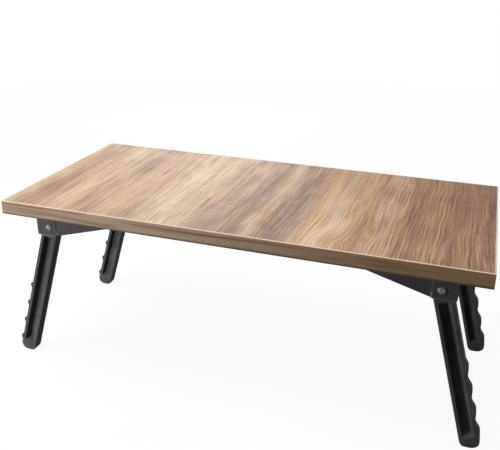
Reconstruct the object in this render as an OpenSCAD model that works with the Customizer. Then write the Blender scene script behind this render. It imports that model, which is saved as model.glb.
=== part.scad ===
// Low folding table: a laminated board on four folding moulded legs.
// The origin is on the surface that the feet stand on, under the middle of the board.
// +X runs to the right end of the board, +Y to its rear edge and +Z up.

/* [Board] */
// Length of the board, end to end
board_length = 600; // [480:1:800]
// Depth of the board, front to rear
board_depth = 300; // [240:1:450]
// Thickness of the board with both laminates
board_thickness = 18; // [16:0.5:25]
// Thickness of the laminate sheet on the top and on the underside
laminate_thickness = 0.8; // [0.4:0.1:1.2]
// Thickness of the edge bands
band_thickness = 1.5; // [1:0.1:3]
// Rounding along the two long edges of an edge band
band_rounding = 0.9; // [0.3:0.1:0.9]

/* [Leg] */
// Pivot to the centre of the foot
leg_reach = 193; // [175:1:230]
// Width of the leg, across its front face
leg_width = 23; // [20:0.5:25]
// Thickness of the leg, front to rear
leg_thickness = 14; // [12:0.5:18]
// Splay of an open leg from the vertical, in degrees
leg_splay = 15.2; // [8:0.2:18]
// Squareness of the end of the foot, where 2 is a half circle
foot_squareness = 2.6; // [2:0.1:3]
// Depth of the level flat that the foot stands on
foot_flat = 1.4; // [0.5:0.1:2]
// Width of the rim on each side of the trough
rim_width = 4.7; // [3.5:0.1:6]
// Depth of the trough in the front and the rear face
trough_depth = 5; // [3:0.1:5.4]
// How far each long wall of the trough leans in on its way down
trough_lean = 2.8; // [0.5:0.1:3]
// Pivot to the upper end of the trough
trough_start = 17; // [15:0.5:30]
// Lower end of the trough to the centre of the foot
trough_stop = 3; // [2:0.5:10]
// Length of the ramp that ends the trough at the foot
trough_ramp = 5; // [4:0.5:12]
// Radius of the corners of the trough
trough_corner = 2; // [1:0.1:3]

/* [Finger grips] */
// Number of grips along the outer edge of a leg
grip_count = 4; // [2:1:4]
// Distance from one grip of a left leg to the next
grip_pitch = 29.3; // [24:0.1:30]
// Height of a left leg's grip above the edge
grip_height = 2.8; // [1:0.1:4]
// Pivot to the first grip of a left leg
left_grip_start = 98.3; // [80:0.1:100]
// Length of a left leg's grip
nub_length = 12.6; // [8:0.1:20]
// Distance from one grip of a right leg to the next
wave_pitch = 28.5; // [24:0.1:30]
// Height of a right leg's grip above the edge
wave_height = 1.8; // [1:0.1:3]
// Pivot to the first grip of a right leg
right_grip_start = 100.3; // [80:0.1:102]
// Length of the steeper, upper side of a right leg's grip
wave_climb = 12.5; // [8:0.5:14]
// Depth of the notches between the grips of a right leg
grip_hollow = 1.2; // [0:0.1:1.5]

/* [Bracket] */
// Pivot to the end of the board
pivot_inset = 51.5; // [45:0.5:80]
// Pivot below the underside of the board
pivot_drop = 22; // [20:0.5:30]
// Outer face of a leg to the long edge of the board
leg_inset = 30; // [26:0.5:60]
// Thickness of the plate that is screwed to the board
plate_thickness = 3; // [2:0.1:4]
// Rounding of the corners of the plate at the thin tip
tip_rounding = 5; // [2:0.5:8]
// Thickness of the two cheeks beside the leg
cheek_thickness = 2.2; // [1.6:0.1:4]
// Running gap between the leg and each cheek
side_play = 0.3; // [0.2:0.05:0.6]
// Height of the raised pad round the pivot, above the cheek
pad_height = 1.2; // [0.6:0.1:2]
// Pivot to the outer end of the bracket, at the board
nose_reach = 19; // [18:0.5:26]
// How far the outer end leans in, from the board to its lower edge
nose_lean = 1.2; // [0:0.1:1.6]
// Thickness of the wall that closes the outer end
nose_wall = 2.6; // [2:0.1:2.8]
// Pivot down to the flat lower edge of the cheeks
belly_drop = 11.5; // [8:0.5:12]
// Pivot to the place where the flat lower edge turns up into the wedge
belly_reach = 9.5; // [6:0.5:14]
// Pivot to the thin tip of the wedge
wedge_reach = 118; // [108:1:150]
// Rounding of the outer lower corner
nose_rounding = 2; // [1:0.1:3]
// Height of the lip along the lower edge of the pad
lip_height = 1.6; // [1:0.1:3]
// How far that lip stands out from the pad
lip_proud = 0.6; // [0.3:0.1:1]
// Gap left between the open leg and the stop ribs
stop_play = 0.05; // [0.02:0.01:0.2]
// Number of stop ribs behind the outer end
stop_rib_count = 3; // [2:1:3]
// Thickness of the stop ribs and of the gussets
rib_thickness = 1.6; // [1:0.1:2.4]
// Radius of the two screw lugs
lug_radius = 6.5; // [6:0.1:8]
// Side of the plate to the screw in a lug
lug_reach = 5.5; // [5.2:0.1:8]
// Pivot to the screw in a lug
lug_place = 5; // [3:0.5:8]
// Height of the gussets above the lug
gusset_height = 5; // [2:0.5:6]

/* [Fasteners] */
// Radius of the rivet that each leg turns on
rivet_radius = 2.5; // [2:0.1:3]
// Radial play of the rivet in its bores
rivet_play = 0.05; // [0.02:0.01:0.1]
// Radius of the domed rivet head
rivet_head_radius = 4.5; // [4:0.1:6]
// Height of the domed rivet head
rivet_head_height = 2; // [1.2:0.1:3]
// Radius of the rolled tail of the rivet
rivet_tail_radius = 4; // [3.6:0.1:6]
// Height of the rolled tail of the rivet
rivet_tail_height = 1.3; // [0.8:0.1:2]
// Radius of the hollow in the head and in the tail
rivet_hollow_radius = 1.5; // [0.8:0.1:1.8]
// Radius of a bracket screw
screw_radius = 1.75; // [1.4:0.05:2]
// Length of a bracket screw under its head
screw_length = 13; // [10:0.5:14]
// Length of the point of a bracket screw
screw_point = 3; // [2:0.5:5]
// Radius of the head of a bracket screw
screw_head_radius = 3.6; // [3.2:0.1:4]
// Height of the head of a bracket screw
screw_head_height = 2.2; // [1.6:0.1:3]
// Radial play of a screw in the hole of the bracket
screw_hole_play = 0.4; // [0.2:0.1:0.8]
// Pivot to the first screw in the floor of the bracket
floor_screw_first = 45; // [35:1:55]
// Distance between the two screws in the floor of the bracket
floor_screw_gap = 50; // [30:1:50]

/* [Hidden] */
$fn = 64;
hull_fn = 32;
seam = 0.01;
over = 1;

left = -1;
right = 1;
front = -1;
rear = 1;

core_colour = [0.72, 0.58, 0.40];
laminate_colour = [0.70, 0.55, 0.42];
band_colour = [0.47, 0.39, 0.30];
plastic_colour = [0.10, 0.10, 0.11];
steel_colour = [0.78, 0.78, 0.76];

// Heights above the surface that the feet stand on. The end of a foot is a superellipse, and
// foot_drop is how far it reaches below its centre once the leg is splayed
half_width = leg_width / 2;
foot_power = foot_squareness / (foot_squareness - 1);
foot_sum = pow(sin(leg_splay), foot_power) + pow(cos(leg_splay), foot_power);
foot_drop = half_width * pow(foot_sum, 1 / foot_power);
pivot_height = leg_reach * cos(leg_splay) + foot_drop - foot_flat;
underside_height = pivot_height + pivot_drop;
top_height = underside_height + board_thickness;
core_length = board_length - 2 * band_thickness;
core_depth = board_depth - 2 * band_thickness;

// Widths of the bracket, from the leg outwards
channel_width = leg_thickness + 2 * side_play;
cheek_width = channel_width + 2 * cheek_thickness;
pad_width = cheek_width + 2 * pad_height;

// Places of the four screws of one bracket, as [along, across] from its pivot
lug_across = pad_width / 2 + lug_reach;
screw_places = [
    [lug_place, -lug_across],
    [lug_place, lug_across],
    [-floor_screw_first, 0],
    [-floor_screw_first - floor_screw_gap, 0]
];
pilot_depth = screw_length - plate_thickness + over;

// Points of an arc about centre, from one angle to another
function arc(centre, radius, from, to, steps = 8) = [
    for (i = [0:steps])
        let (angle = from + (to - from) * i / steps)
        centre + radius * [cos(angle), sin(angle)]
];

// Puts children drawn about a pivot at one corner of the board.
// They are drawn with +X towards the near end of the board and -Y towards its near long edge.
module at_pivot(end, row) {
    translate([
        end * (board_length / 2 - pivot_inset),
        row * (board_depth / 2 - leg_inset - leg_thickness / 2),
        pivot_height
    ])
        mirror_if(end == left, [1, 0, 0])
            mirror_if(row == rear, [0, 1, 0])
                children();
}

module mirror_if(wanted, normal) {
    if (wanted) {
        mirror(normal) children();
    } else {
        children();
    }
}

// Gives an outline drawn in X and Z a width along Y, with its middle at y = 0
module across(width) {
    rotate([90, 0, 0])
        linear_extrude(height = width, center = true)
            children();
}

// ---- Board ----

module board_slab(bottom, thickness) {
    translate([-core_length / 2, -core_depth / 2, bottom])
        cube([core_length, core_depth, thickness]);
}

// Holes in the board for every bracket screw, up from the underside
module pilot_holes() {
    for (end = [left, right])
        for (row = [front, rear])
            at_pivot(end, row)
                for (place = screw_places)
                    translate([place.x, place.y, pivot_drop - over])
                        cylinder(h = pilot_depth + over, r = screw_radius + rivet_play);
}

module core() {
    difference() {
        board_slab(underside_height + laminate_thickness, board_thickness - 2 * laminate_thickness);
        pilot_holes();
    }
}

module underside_sheet() {
    difference() {
        board_slab(underside_height, laminate_thickness);
        pilot_holes();
    }
}

// An edge band along X, its flat back on y = 0 and its rounded face towards -Y
module edge_band(length) {
    face = -band_thickness + band_rounding;
    outline = concat(
        [[0, 0], [0, board_thickness]],
        arc([face, board_thickness - band_rounding], band_rounding, 90, 180),
        arc([face, band_rounding], band_rounding, 180, 270)
    );
    translate([-length / 2, 0, underside_height])
        rotate([90, 0, 90])
            linear_extrude(height = length)
                polygon(outline);
}

module long_edge_band(row) {
    mirror_if(row == rear, [0, 1, 0])
        translate([0, -core_depth / 2, 0])
            edge_band(board_length);
}

module end_edge_band(end) {
    mirror_if(end == right, [1, 0, 0])
        translate([-core_length / 2, 0, 0])
            rotate([0, 0, -90])
                edge_band(core_depth);
}

// ---- Bracket ----

nose_foot = nose_reach - nose_lean;
wall_inside = nose_foot - nose_wall;
nose_corner = arc([nose_foot - nose_rounding, nose_rounding - belly_drop], nose_rounding, 0, -90, 6);
// Distance of the open leg's outer edge from the pivot, at a height above the pivot
function stop_line(height) = (half_width + stop_play) / cos(leg_splay) - height * tan(leg_splay);
stop_shoulder = half_width * sin(leg_splay);

// Side view of a cheek: a blunt nose, a flat belly and a long wedge
module cheek_outline() {
    polygon(concat(
        [[nose_reach, pivot_drop]],
        nose_corner,
        [
            [-belly_reach, -belly_drop],
            [-wedge_reach, pivot_drop - plate_thickness],
            [-wedge_reach, pivot_drop]
        ]
    ));
}

module pad_outline() {
    polygon(concat(
        [[nose_reach, pivot_drop]],
        nose_corner,
        [[-belly_reach, -belly_drop], [-belly_reach, pivot_drop]]
    ));
}

module nose_outline() {
    polygon(concat(
        [[nose_reach, pivot_drop]],
        nose_corner,
        [[wall_inside, -belly_drop], [wall_inside, pivot_drop]]
    ));
}

// A rib between the nose wall and the line that the open leg rests against
module stop_rib_outline() {
    foot = lip_height - belly_drop;
    polygon([
        [wall_inside + seam, foot],
        [stop_line(foot), foot],
        [stop_line(stop_shoulder), stop_shoulder],
        [stop_line(stop_shoulder), pivot_drop - seam],
        [wall_inside + seam, pivot_drop - seam]
    ]);
}

module cheeks() {
    for (side = [-1, 1])
        translate([0, side * (channel_width + cheek_thickness) / 2, 0])
            across(cheek_thickness)
                cheek_outline();
}

module pads() {
    depth = pad_height + cheek_thickness / 2;
    for (side = [-1, 1])
        translate([0, side * (pad_width - depth) / 2, 0])
            across(depth)
                pad_outline();
}

module lips() {
    lip_length = nose_foot - nose_rounding + belly_reach;
    for (side = [-1, 1])
        translate([-belly_reach, side * pad_width / 2 - lip_proud, -belly_drop])
            cube([lip_length, 2 * lip_proud, lip_height]);
}

module stop_ribs() {
    pitch = channel_width / stop_rib_count;
    for (i = [0:stop_rib_count - 1])
        translate([0, (i - (stop_rib_count - 1) / 2) * pitch, 0])
            across(rib_thickness)
                stop_rib_outline();
}

module plate() {
    half = pad_width / 2;
    tip_centre = tip_rounding - wedge_reach;
    outline = concat(
        [[nose_reach, -half], [nose_reach, half]],
        arc([tip_centre, half - tip_rounding], tip_rounding, 90, 180),
        arc([tip_centre, tip_rounding - half], tip_rounding, 180, 270)
    );
    translate([0, 0, pivot_drop - plate_thickness])
        linear_extrude(height = plate_thickness)
            polygon(outline);
}

module lug(side) {
    translate([lug_place, 0, pivot_drop - plate_thickness]) {
        translate([0, side * lug_across, 0])
            cylinder(h = plate_thickness, r = lug_radius);
        translate([-lug_radius, side > 0 ? 0 : -lug_across, 0])
            cube([2 * lug_radius, lug_across, plate_thickness]);
    }
}

// Two small triangles that brace a lug against its cheek, one on each side of the screw
module gussets(side) {
    root = cheek_width / 2;
    for (edge = [-1, 1])
        translate([
            lug_place + edge * (lug_radius - rib_thickness / 2),
            0,
            pivot_drop - plate_thickness + seam
        ])
            rotate([90, 0, 90])
                linear_extrude(height = rib_thickness, center = true)
                    polygon([
                        [side * root, 0],
                        [side * lug_across, 0],
                        [side * (pad_width / 2), -gusset_height],
                        [side * root, -gusset_height]
                    ]);
}

module bracket() {
    difference() {
        union() {
            plate();
            cheeks();
            pads();
            lips();
            across(channel_width + cheek_thickness)
                nose_outline();
            stop_ribs();
            for (side = [-1, 1]) {
                lug(side);
                gussets(side);
            }
        }
        rotate([90, 0, 0])
            cylinder(h = pad_width + 2 * over, r = rivet_radius + rivet_play, center = true);
        for (place = screw_places)
            translate([place.x, place.y, pivot_drop - plate_thickness - over])
                cylinder(h = plate_thickness + 2 * over, r = screw_radius + screw_hole_play);
    }
}

// ---- Leg ----

grip_top = min(left_grip_start - nub_length / 2, right_grip_start - wave_climb);
grip_step = 1.45;
foot_steps = 24;

// Narrow rounded crest of a left leg, at a distance from its middle
function nub(distance) = abs(distance) < nub_length / 2
    ? grip_height * pow(cos(180 * distance / nub_length), 2)
    : 0;

// Wave of a right leg from notch to notch, steeper on its upper side, at a distance from its crest
function wave(distance) =
    let (side = distance < 0 ? wave_climb : wave_pitch - wave_climb)
    (wave_height + grip_hollow) * pow(cos(90 * distance / side), 2) - grip_hollow;

// Height of the nubs above the edge of a left leg, at a distance along from its pivot
function left_rise(along) =
    let (nearest = min(grip_count - 1, round((along - left_grip_start) / grip_pitch)))
    nub(along - left_grip_start - nearest * grip_pitch);

// The same for the waves of a right leg, where the edge above the first wave stays straight
function right_rise(along) =
    let (
        passed = floor((along - right_grip_start + wave_climb) / wave_pitch),
        distance = along - right_grip_start - min(grip_count - 1, max(0, passed)) * wave_pitch,
        rise = wave(min(wave_pitch - wave_climb, max(-wave_climb, distance)))
    )
    passed < 1 && distance < 0 ? max(0, rise) : rise;

function grip_rise(along, end) = end == right ? right_rise(along) : left_rise(along);

// Outer edge of a leg in its own plane, from above its first grip down to the foot
function grip_edge(end) = [
    for (along = [grip_top : grip_step : leg_reach - grip_step / 2])
        [half_width + grip_rise(along, end), -along]
];

// End of the foot, from the outer edge to the inner one
function foot_edge(rise) = [
    for (i = [0:foot_steps])
        let (
            angle = 180 * i / foot_steps,
            reach = angle < 90 ? half_width + rise : half_width,
            power = 2 / foot_squareness
        )
        [
            reach * sign(cos(angle)) * pow(abs(cos(angle)), power),
            -leg_reach - half_width * pow(abs(sin(angle)), power)
        ]
];

module leg_outline(end) {
    polygon(concat(
        [[-half_width, 0], [half_width, 0]],
        grip_edge(end),
        foot_edge(grip_rise(leg_reach, end))
    ));
}

// Drafted trough cut down from the face at y = 0 towards +Y, with a ramp at the foot
module trough() {
    open_half = half_width - rim_width - trough_corner;
    floor_half = open_half - trough_lean;
    upper = -trough_start - trough_corner;
    lower = trough_stop + trough_corner - leg_reach;
    hull() {
        for (side = [-1, 1]) {
            translate([side * open_half, -seam, upper])
                rotate([90, 0, 0])
                    cylinder(h = over, r = trough_corner, $fn = hull_fn);
            translate([side * open_half, -seam, lower])
                rotate([90, 0, 0])
                    cylinder(h = over, r = trough_corner, $fn = hull_fn);
            translate([side * floor_half, trough_depth, upper - trough_lean])
                rotate([90, 0, 0])
                    cylinder(h = over, r = trough_corner, $fn = hull_fn);
            translate([side * floor_half, trough_depth, lower + trough_ramp])
                rotate([90, 0, 0])
                    cylinder(h = over, r = trough_corner, $fn = hull_fn);
        }
    }
}

// A leg hanging straight down from its pivot
module straight_leg(end) {
    difference() {
        union() {
            rotate([90, 0, 0])
                cylinder(h = leg_thickness, r = half_width, center = true);
            across(leg_thickness)
                leg_outline(end);
        }
        rotate([90, 0, 0])
            cylinder(h = leg_thickness + 2 * over, r = rivet_radius + rivet_play, center = true);
        for (face = [0, 1])
            mirror_if(face == 1, [0, 1, 0])
                translate([0, -leg_thickness / 2, 0])
                    trough();
    }
}

module leg(end) {
    difference() {
        rotate([0, -leg_splay, 0])
            straight_leg(end);
        translate([0, -leg_thickness, -pivot_height - 2 * over])
            cube([leg_reach, 2 * leg_thickness, 2 * over]);
    }
}

// ---- Fasteners ----

// Cap of a sphere, its flat side on z = 0
module dome(radius, height) {
    ball = (radius * radius + height * height) / (2 * height);
    intersection() {
        translate([0, 0, height - ball])
            sphere(r = ball);
        cylinder(h = height + over, r = radius);
    }
}

// Rivet through both cheeks and the leg: domed head on -Y, rolled tail on +Y, both hollow
module rivet() {
    difference() {
        union() {
            rotate([90, 0, 0])
                cylinder(h = pad_width + 2 * seam, r = rivet_radius, center = true);
            translate([0, -pad_width / 2, 0])
                rotate([90, 0, 0])
                    dome(rivet_head_radius, rivet_head_height);
            translate([0, pad_width / 2, 0])
                rotate([-90, 0, 0])
                    dome(rivet_tail_radius, rivet_tail_height);
        }
        translate([0, -pad_width / 2 - rivet_head_height - rivet_hollow_radius / 2, 0])
            sphere(r = rivet_hollow_radius);
        translate([0, pad_width / 2 + rivet_tail_height, 0])
            sphere(r = rivet_hollow_radius);
    }
}

// Pan-head screw, its head hanging under z = 0 and its shank up along +Z
module screw() {
    cylinder(h = screw_length - screw_point, r = screw_radius);
    translate([0, 0, screw_length - screw_point])
        cylinder(h = screw_point, r1 = screw_radius, r2 = screw_radius / 4);
    mirror([0, 0, 1])
        dome(screw_head_radius, screw_head_height);
}

module bracket_screws() {
    for (place = screw_places)
        translate([place.x, place.y, pivot_drop - plate_thickness])
            screw();
}

// ---- Sub-parts ----

module board_core() { color(core_colour) core(); }

module top_laminate() {
    color(laminate_colour) board_slab(top_height - laminate_thickness, laminate_thickness);
}

module underside_laminate() { color(laminate_colour) underside_sheet(); }
module front_edge_band() { color(band_colour) long_edge_band(front); }
module rear_edge_band() { color(band_colour) long_edge_band(rear); }
module left_edge_band() { color(band_colour) end_edge_band(left); }
module right_edge_band() { color(band_colour) end_edge_band(right); }

module front_left_bracket() { color(plastic_colour) at_pivot(left, front) bracket(); }
module front_right_bracket() { color(plastic_colour) at_pivot(right, front) bracket(); }
module rear_left_bracket() { color(plastic_colour) at_pivot(left, rear) bracket(); }
module rear_right_bracket() { color(plastic_colour) at_pivot(right, rear) bracket(); }

module front_left_leg() { color(plastic_colour) at_pivot(left, front) leg(left); }
module front_right_leg() { color(plastic_colour) at_pivot(right, front) leg(right); }
module rear_left_leg() { color(plastic_colour) at_pivot(left, rear) leg(left); }
module rear_right_leg() { color(plastic_colour) at_pivot(right, rear) leg(right); }

module front_left_rivet() { color(steel_colour) at_pivot(left, front) rivet(); }
module front_right_rivet() { color(steel_colour) at_pivot(right, front) rivet(); }
module rear_left_rivet() { color(steel_colour) at_pivot(left, rear) rivet(); }
module rear_right_rivet() { color(steel_colour) at_pivot(right, rear) rivet(); }

module front_left_screws() { color(steel_colour) at_pivot(left, front) bracket_screws(); }
module front_right_screws() { color(steel_colour) at_pivot(right, front) bracket_screws(); }
module rear_left_screws() { color(steel_colour) at_pivot(left, rear) bracket_screws(); }
module rear_right_screws() { color(steel_colour) at_pivot(right, rear) bracket_screws(); }

board_core();
top_laminate();
underside_laminate();
front_edge_band();
rear_edge_band();
left_edge_band();
right_edge_band();
front_left_bracket();
front_right_bracket();
rear_left_bracket();
rear_right_bracket();
front_left_leg();
front_right_leg();
rear_left_leg();
rear_right_leg();
front_left_rivet();
front_right_rivet();
rear_left_rivet();
rear_right_rivet();
front_left_screws();
front_right_screws();
rear_left_screws();
rear_right_screws();
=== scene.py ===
"""Folding lap table: a wood-print board on four folding legs of moulded black plastic.

Every piece is worked out in millimetres about the pivot of its leg, or about the board, and then
put in its place in the frame of the packed model.
"""

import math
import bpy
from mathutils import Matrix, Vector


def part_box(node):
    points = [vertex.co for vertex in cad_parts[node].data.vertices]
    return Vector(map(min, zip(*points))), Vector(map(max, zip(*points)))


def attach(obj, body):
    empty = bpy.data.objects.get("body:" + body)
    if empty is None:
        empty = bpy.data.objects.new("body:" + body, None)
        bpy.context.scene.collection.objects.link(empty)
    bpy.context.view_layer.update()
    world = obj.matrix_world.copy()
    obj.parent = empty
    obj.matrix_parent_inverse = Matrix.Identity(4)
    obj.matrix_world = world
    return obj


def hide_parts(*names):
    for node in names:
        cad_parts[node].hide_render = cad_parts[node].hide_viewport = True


bl_info = {
    "name": "Folding Lap Table",
    "version": (1, 0, 0),
    "blender": (4, 5, 0),
    "location": "3D View > Sidebar > Lap Table",
    "description": "Builds the board, brackets, legs and fasteners of a folding lap table",
    "category": "Add Mesh",
}

from types import SimpleNamespace

import bmesh
import bpy
import numpy as np
from bpy.props import FloatProperty, FloatVectorProperty, IntProperty, PointerProperty
from bpy.types import Operator, Panel, PropertyGroup
from mathutils import Matrix, Vector

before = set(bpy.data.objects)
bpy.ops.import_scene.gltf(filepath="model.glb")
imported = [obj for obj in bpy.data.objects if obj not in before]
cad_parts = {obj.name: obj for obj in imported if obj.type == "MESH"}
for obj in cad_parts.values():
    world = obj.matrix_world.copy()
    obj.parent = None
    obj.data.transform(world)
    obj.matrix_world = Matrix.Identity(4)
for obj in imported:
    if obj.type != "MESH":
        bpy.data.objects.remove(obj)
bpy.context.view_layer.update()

MM = 0.001
BOARD_BODY = "table_top"
LEFT, RIGHT, FRONT, REAR = -1, 1, -1, 1
CORNERS = {
    "front_left": (LEFT, FRONT),
    "front_right": (RIGHT, FRONT),
    "rear_left": (LEFT, REAR),
    "rear_right": (RIGHT, REAR),
}


# ---- Sizes taken from the frame ----


def box_mm(name):
    """Lowest and highest corner of a node of the frame, in millimetres."""
    return np.array(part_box(name)) / MM


def pivot_mm(corner):
    """Pivot of one leg: the middle of its rivet along X and Z, and the middle of its leg along Y."""
    rivet, leg = (box_mm(f"{corner}_{part}").mean(axis=0) for part in ("rivet", "leg"))
    return np.array([rivet[0], leg[1], rivet[2]])


SHEET_LOW, SHEET_HIGH = box_mm("top_laminate")
FRONT_BAND, LEFT_BAND = box_mm("front_edge_band"), box_mm("left_edge_band")
LEG_THICKNESS = float(np.ptp(box_mm("front_left_leg")[:, 1]))
PIVOT = {corner: pivot_mm(corner) for corner in CORNERS}
PIVOT_HEIGHT = PIVOT["front_left"][2]
PIVOT_DROP = FRONT_BAND[0, 2] - PIVOT_HEIGHT


# ---- What a user may change ----


def rgb(red, green, blue):
    """A colour written from 0 to 255, as the linear values that the shaders use."""
    written = np.array([red, green, blue]) / 255
    linear = np.where(written <= 0.04045, written / 12.92, ((written + 0.055) / 1.055) ** 2.4)
    return tuple(linear.tolist())


WHITE, BLACK = rgb(255, 255, 255), rgb(0, 0, 0)


def length(name, description, default):
    """A length, kept in metres. Its default is given in millimetres."""
    return FloatProperty(
        name=name, description=description, default=default * MM, min=0.0, precision=5, unit="LENGTH"
    )


def angle(name, description, default):
    """An angle, kept in radians. Its default is given in degrees."""
    return FloatProperty(name=name, description=description, default=math.radians(default), subtype="ANGLE")


def number(name, description, default, low, high):
    return FloatProperty(name=name, description=description, default=default, min=low, max=high)


def power(name, description, default):
    return FloatProperty(name=name, description=description, default=default, min=0.0, unit="POWER")


def colour(name, description, default):
    return FloatVectorProperty(
        name=name, description=description, default=default, subtype="COLOR", min=0.0, max=1.0
    )


def portion(name, description, default, limit=1.0):
    return FloatProperty(
        name=name, description=description, default=default, min=0.0, max=limit, subtype="FACTOR"
    )


class BoardSettings(PropertyGroup):
    """Sizes of the board's edges and the colours of its wood print"""

    band_rounding: length("Band Rounding", "Rounding of the long edges of a band", 0.9)
    band_end_rounding: length("Band End", "Rounding of the upright corners of a band", 0.35)
    sheet_arris: length("Sheet Arris", "Broken edge of the laminate sheet", 0.12)
    straw: colour("Straw", "Lightest zones of the print", rgb(215, 192, 163))
    honey: colour("Honey", "Light golden zones of the print", rgb(220, 181, 130))
    tan: colour("Tan", "Main colour of the print", rgb(195, 162, 135))
    mauve: colour("Mauve", "Greyish brown zones of the print", rgb(163, 133, 118))
    plum: colour("Plum", "Darkest greyish zones of the print", rgb(128, 100, 88))
    brown: colour("Brown", "Brown zones of the print", rgb(184, 141, 107))
    amber: colour("Amber", "Broad warm patches at the rear of the print", rgb(146, 108, 77))
    umber: colour("Umber", "Darkest brown zones of the print", rgb(158, 118, 89))
    # This colour is a painted shadow at the rear right of the top.
    painted_shadow: colour("Shade", "Cloud at the right end of the print", rgb(112, 80, 58))
    vein: colour("Vein", "Thin dark lines of the print", rgb(105, 72, 54))
    knot: colour("Knot", "Orange heart of a knot", rgb(201, 147, 88))
    band: colour("Band", "Print of the edge bands", rgb(164, 139, 117))
    band_pale: colour("Pale Band", "Pale streaks of the edge bands", rgb(174, 154, 136))
    band_olive: colour("Olive Band", "Print of the edge bands towards the right", rgb(147, 119, 88))
    band_dark: colour("Band Streaks", "Dark streaks of the edge bands", rgb(112, 88, 70))
    # The dark lower edge of a band is painted shade.
    band_foot_shade: colour("Band Foot", "Lower edge of the edge bands", rgb(76, 60, 48))
    # The pale arris is partly bare scraped plastic and partly a painted highlight.
    arris_and_highlight: colour("Scraped Arris", "Bare plastic where a band is scraped round", rgb(238, 210, 189))
    chip: colour("Chips", "Pressed wood particles of the core", rgb(186, 150, 104))
    chip_pale: colour("Pale Chips", "Lightest particles", rgb(214, 184, 140))
    chip_dark: colour("Dark Chips", "Darkest particles", rgb(138, 102, 66))
    chip_dust: colour("Chip Dust", "Dust between the particles", rgb(120, 86, 54))
    print_gloss: portion("Print Roughness", "Roughness of the laminate", 0.5)


class LegSettings(PropertyGroup):
    """Sizes and finish of a moulded leg"""

    reach: length("Reach", "Pivot to the centre of the foot", 193.0)
    width: length("Width", "Width across the front face", 23.0)
    thickness: length("Thickness", "Front to rear", LEG_THICKNESS)
    splay: angle("Splay", "Splay of an open leg from the vertical", 15.2)
    foot_squareness: number("Foot Squareness", "2 is a half circle, more is squarer", 2.6, 2.0, 4.0)
    edge_rounding: length("Edge Rounding", "Rounding of the outer edges", 0.8)
    draft: length("Draft", "How far each side leans in from the parting line", 0.2)
    parting: length("Parting Line", "Height of the parting line", 0.1)
    rim: length("Rim", "Width of the rim beside the trough", 4.7)
    rim_rounding: length("Rim Rounding", "Rounding from the rim into the trough", 0.7)
    trough_depth: length("Trough Depth", "Depth of the trough in each face", 5.0)
    trough_lean: length("Trough Lean", "How far a wall of the trough leans in", 2.8)
    trough_scoop: length("Trough Scoop", "Reach of the curve between a wall and the floor of a trough", 3.0)
    trough_start: length("Trough Start", "Pivot to the upper end of the trough", 17.0)
    trough_stop: length("Trough Stop", "Lower end of the trough to the centre of the foot", 3.0)
    trough_ramp: length("Trough Ramp", "Length of the ramp at the foot", 5.0)
    trough_corner: length("Trough Corner", "Corner radius of the trough", 2.0)
    grips: IntProperty(name="Grips", description="Finger grips on a leg", default=4, min=1, max=6)
    nub_start: length("Left Grips", "Pivot to the first grip of a left leg", 98.3)
    nub_pitch: length("Left Grip Pitch", "One grip of a left leg to the next", 29.3)
    nub_height: length("Left Grip Height", "Height of a left leg's grip", 2.8)
    nub_length: length("Left Grip Length", "Length of a left leg's grip", 12.6)
    wave_start: length("Right Grips", "Pivot to the first grip of a right leg", 100.3)
    wave_pitch: length("Right Grip Pitch", "One grip of a right leg to the next", 28.5)
    wave_height: length("Right Grip Height", "Height of a right leg's grip above the edge", 1.8)
    wave_climb: length("Right Grip Climb", "Length of its steeper, upper side", 12.5)
    notch: length("Notch", "Depth of the notches between the grips of a right leg", 1.2)
    bore_play: length("Bore Play", "Gap between the bore and the rivet", 0.1)
    bore_funnel: length("Bore Funnel", "Widening at the mouths of the bore", 0.6)
    # The two plastic colours of a leg are lit and shaded copies of one black plastic: the darker one is
    # painted shade on the sides and trough floors, the paler one is painted light on the faces and rims.
    plastic: colour("Plastic", "Black plastic of the legs", rgb(43, 43, 48))
    rubbed: colour("Rubbed Plastic", "The same where hands and floors have rubbed it pale", rgb(75, 74, 78))
    scuff: colour("Scuffs", "Pale scuffs", rgb(112, 110, 110))
    roughness: portion("Roughness", "Roughness of the moulded surface", 0.5)
    gloss: portion("Gloss", "Specular level of the moulded surface", 0.03)


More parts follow.
